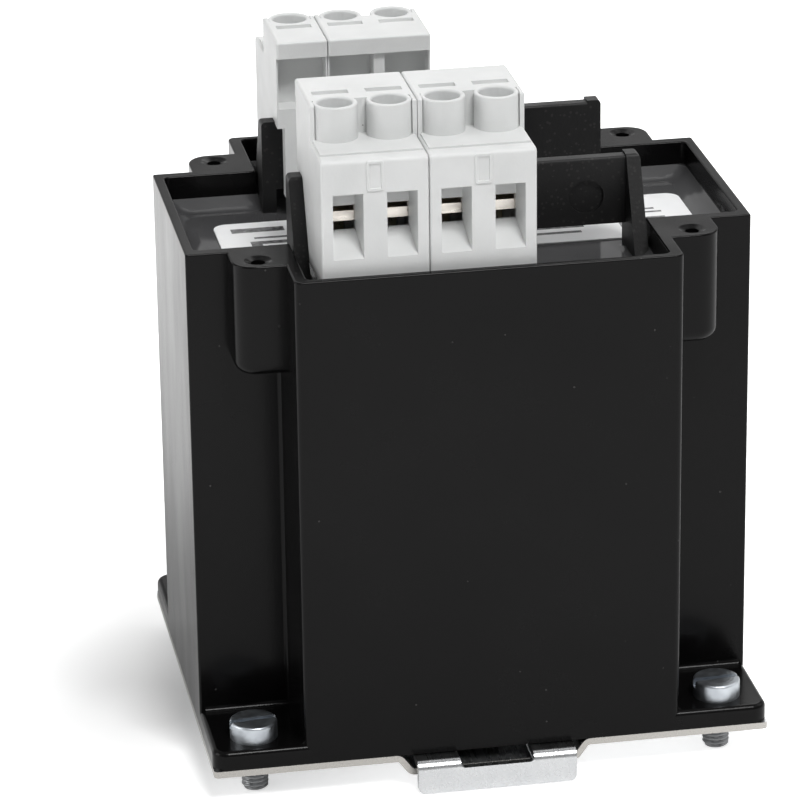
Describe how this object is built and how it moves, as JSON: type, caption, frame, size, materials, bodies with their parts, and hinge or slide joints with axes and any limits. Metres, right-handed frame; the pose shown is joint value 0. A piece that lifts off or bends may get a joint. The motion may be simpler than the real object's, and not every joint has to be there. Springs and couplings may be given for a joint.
{
  "type": "din rail transformer",
  "caption": "Potted control transformer in a black cross-shaped housing with grey screw terminals, on a zinc-plated plate with a spring latch for a mounting rail.",
  "frame": {"origin": "middle of the rail seat, on the underside of the base plate's channel", "axes": "+X along the rail, -Y to the front where the latch is pulled, +Z away from the rail"},
  "size_m": [0.101, 0.0845, 0.1245],
  "materials": {
    "housing_black": "satin moulded black plastic",
    "resin_grey": "glossy cast resin",
    "label_white": "blank printed label",
    "zinc_sheet": "zinc-plated steel sheet",
    "zinc_screw": "blue zinc-plated steel",
    "terminal_grey": "light grey polyamide",
    "rail_black": "moulded black plastic",
    "clamp_metal": "nickel-plated metal",
    "contact_brass": "tinned brass",
    "core_steel": "stacked electrical steel",
    "winding_copper": "enamelled copper wire",
    "bobbin_plastic": "glass-filled plastic",
    "insulation_film": "insulating film",
    "lead_sleeve": "insulated lead",
    "spring_steel": "spring wire"
  },
  "bodies": {
    "transformer": {"housing": "housing_black", "potting_resin": "resin_grey", "rating_label": "label_white", "base_plate": "zinc_sheet", "latch_spring": "spring_steel", "plate_screws": "zinc_screw", "front_terminal_rail": "rail_black", "rear_terminal_rail": "rail_black", "core_e_stack": "core_steel", "core_i_stack": "core_steel", "bobbin": "bobbin_plastic", "primary_winding": "winding_copper", "secondary_winding": "winding_copper", "layer_insulation": "insulation_film", "coil_wrap": "insulation_film", "primary_leads": "lead_sleeve", "secondary_leads": "lead_sleeve", "front_terminal_1": "terminal_grey", "front_terminal_2": "terminal_grey", "front_contact_bar_1": "contact_brass", "front_contact_bar_2": "contact_brass", "front_contact_bar_3": "contact_brass", "front_contact_bar_4": "contact_brass", "rear_terminal_1": "terminal_grey", "rear_terminal_2": "terminal_grey", "rear_contact_bar_1": "contact_brass", "rear_contact_bar_2": "contact_brass", "rear_contact_bar_3": "contact_brass"},
    "rail_latch": {"rail_latch": "zinc_sheet"},
    "front_clamp_cage_1": {"front_clamp_cage_1": "clamp_metal"},
    "front_clamp_screw_1": {"front_clamp_screw_1": "zinc_screw"},
    "front_clamp_cage_2": {"front_clamp_cage_2": "clamp_metal"},
    "front_clamp_screw_2": {"front_clamp_screw_2": "zinc_screw"},
    "front_clamp_cage_3": {"front_clamp_cage_3": "clamp_metal"},
    "front_clamp_screw_3": {"front_clamp_screw_3": "zinc_screw"},
    "front_clamp_cage_4": {"front_clamp_cage_4": "clamp_metal"},
    "front_clamp_screw_4": {"front_clamp_screw_4": "zinc_screw"},
    "rear_clamp_cage_1": {"rear_clamp_cage_1": "clamp_metal"},
    "rear_clamp_screw_1": {"rear_clamp_screw_1": "zinc_screw"},
    "rear_clamp_cage_2": {"rear_clamp_cage_2": "clamp_metal"},
    "rear_clamp_screw_2": {"rear_clamp_screw_2": "zinc_screw"},
    "rear_clamp_cage_3": {"rear_clamp_cage_3": "clamp_metal"},
    "rear_clamp_screw_3": {"rear_clamp_screw_3": "zinc_screw"}
  },
  "joints": [
    {"name": "latch_slide", "type": "slide", "parent": "transformer", "child": "rail_latch", "axis": [0, -1, 0], "range_m": [0, 0.0045], "stiffness_N_per_m": 1200, "springref_m": -0.002, "deforming": ["latch_spring"]},
    {"name": "front_screw_turn_1", "type": "hinge", "parent": "transformer", "child": "front_clamp_screw_1", "pos_m": [-0.0242, -0.0253, 0.11475], "axis": [0, 0, 1], "range_deg": [-632, 1442]},
    {"name": "front_cage_lift_1", "type": "slide", "parent": "transformer", "child": "front_clamp_cage_1", "axis": [0, 0, 1], "range_m": [-0.0028, 0.00122]},
    {"name": "front_screw_turn_2", "type": "hinge", "parent": "transformer", "child": "front_clamp_screw_2", "pos_m": [-0.0148, -0.0253, 0.11475], "axis": [0, 0, 1], "range_deg": [-632, 1442]},
    {"name": "front_cage_lift_2", "type": "slide", "parent": "transformer", "child": "front_clamp_cage_2", "axis": [0, 0, 1], "range_m": [-0.0028, 0.00122]},
    {"name": "front_screw_turn_3", "type": "hinge", "parent": "transformer", "child": "front_clamp_screw_3", "pos_m": [-0.0054, -0.0253, 0.11475], "axis": [0, 0, 1], "range_deg": [-632, 1442]},
    {"name": "front_cage_lift_3", "type": "slide", "parent": "transformer", "child": "front_clamp_cage_3", "axis": [0, 0, 1], "range_m": [-0.0028, 0.00122]},
    {"name": "front_screw_turn_4", "type": "hinge", "parent": "transformer", "child": "front_clamp_screw_4", "pos_m": [0.004, -0.0253, 0.11475], "axis": [0, 0, 1], "range_deg": [-632, 1442]},
    {"name": "front_cage_lift_4", "type": "slide", "parent": "transformer", "child": "front_clamp_cage_4", "axis": [0, 0, 1], "range_m": [-0.0028, 0.00122]},
    {"name": "rear_screw_turn_1", "type": "hinge", "parent": "transformer", "child": "rear_clamp_screw_1", "pos_m": [-0.0242, 0.0253, 0.11475], "axis": [0, 0, 1], "range_deg": [-632, 1442]},
    {"name": "rear_cage_lift_1", "type": "slide", "parent": "transformer", "child": "rear_clamp_cage_1", "axis": [0, 0, 1], "range_m": [-0.0028, 0.00122]},
    {"name": "rear_screw_turn_2", "type": "hinge", "parent": "transformer", "child": "rear_clamp_screw_2", "pos_m": [-0.0148, 0.0253, 0.11475], "axis": [0, 0, 1], "range_deg": [-632, 1442]},
    {"name": "rear_cage_lift_2", "type": "slide", "parent": "transformer", "child": "rear_clamp_cage_2", "axis": [0, 0, 1], "range_m": [-0.0028, 0.00122]},
    {"name": "rear_screw_turn_3", "type": "hinge", "parent": "transformer", "child": "rear_clamp_screw_3", "pos_m": [-0.0054, 0.0253, 0.11475], "axis": [0, 0, 1], "range_deg": [-632, 1442]},
    {"name": "rear_cage_lift_3", "type": "slide", "parent": "transformer", "child": "rear_clamp_cage_3", "axis": [0, 0, 1], "range_m": [-0.0028, 0.00122]}
  ],
  "couplings": [
    {"joint": "front_screw_turn_1", "follows": "front_cage_lift_1", "rad_per_m": -8976},
    {"joint": "front_screw_turn_2", "follows": "front_cage_lift_2", "rad_per_m": -8976},
    {"joint": "front_screw_turn_3", "follows": "front_cage_lift_3", "rad_per_m": -8976},
    {"joint": "front_screw_turn_4", "follows": "front_cage_lift_4", "rad_per_m": -8976},
    {"joint": "rear_screw_turn_1", "follows": "rear_cage_lift_1", "rad_per_m": -8976},
    {"joint": "rear_screw_turn_2", "follows": "rear_cage_lift_2", "rad_per_m": -8976},
    {"joint": "rear_screw_turn_3", "follows": "rear_cage_lift_3", "rad_per_m": -8976}
  ]
}
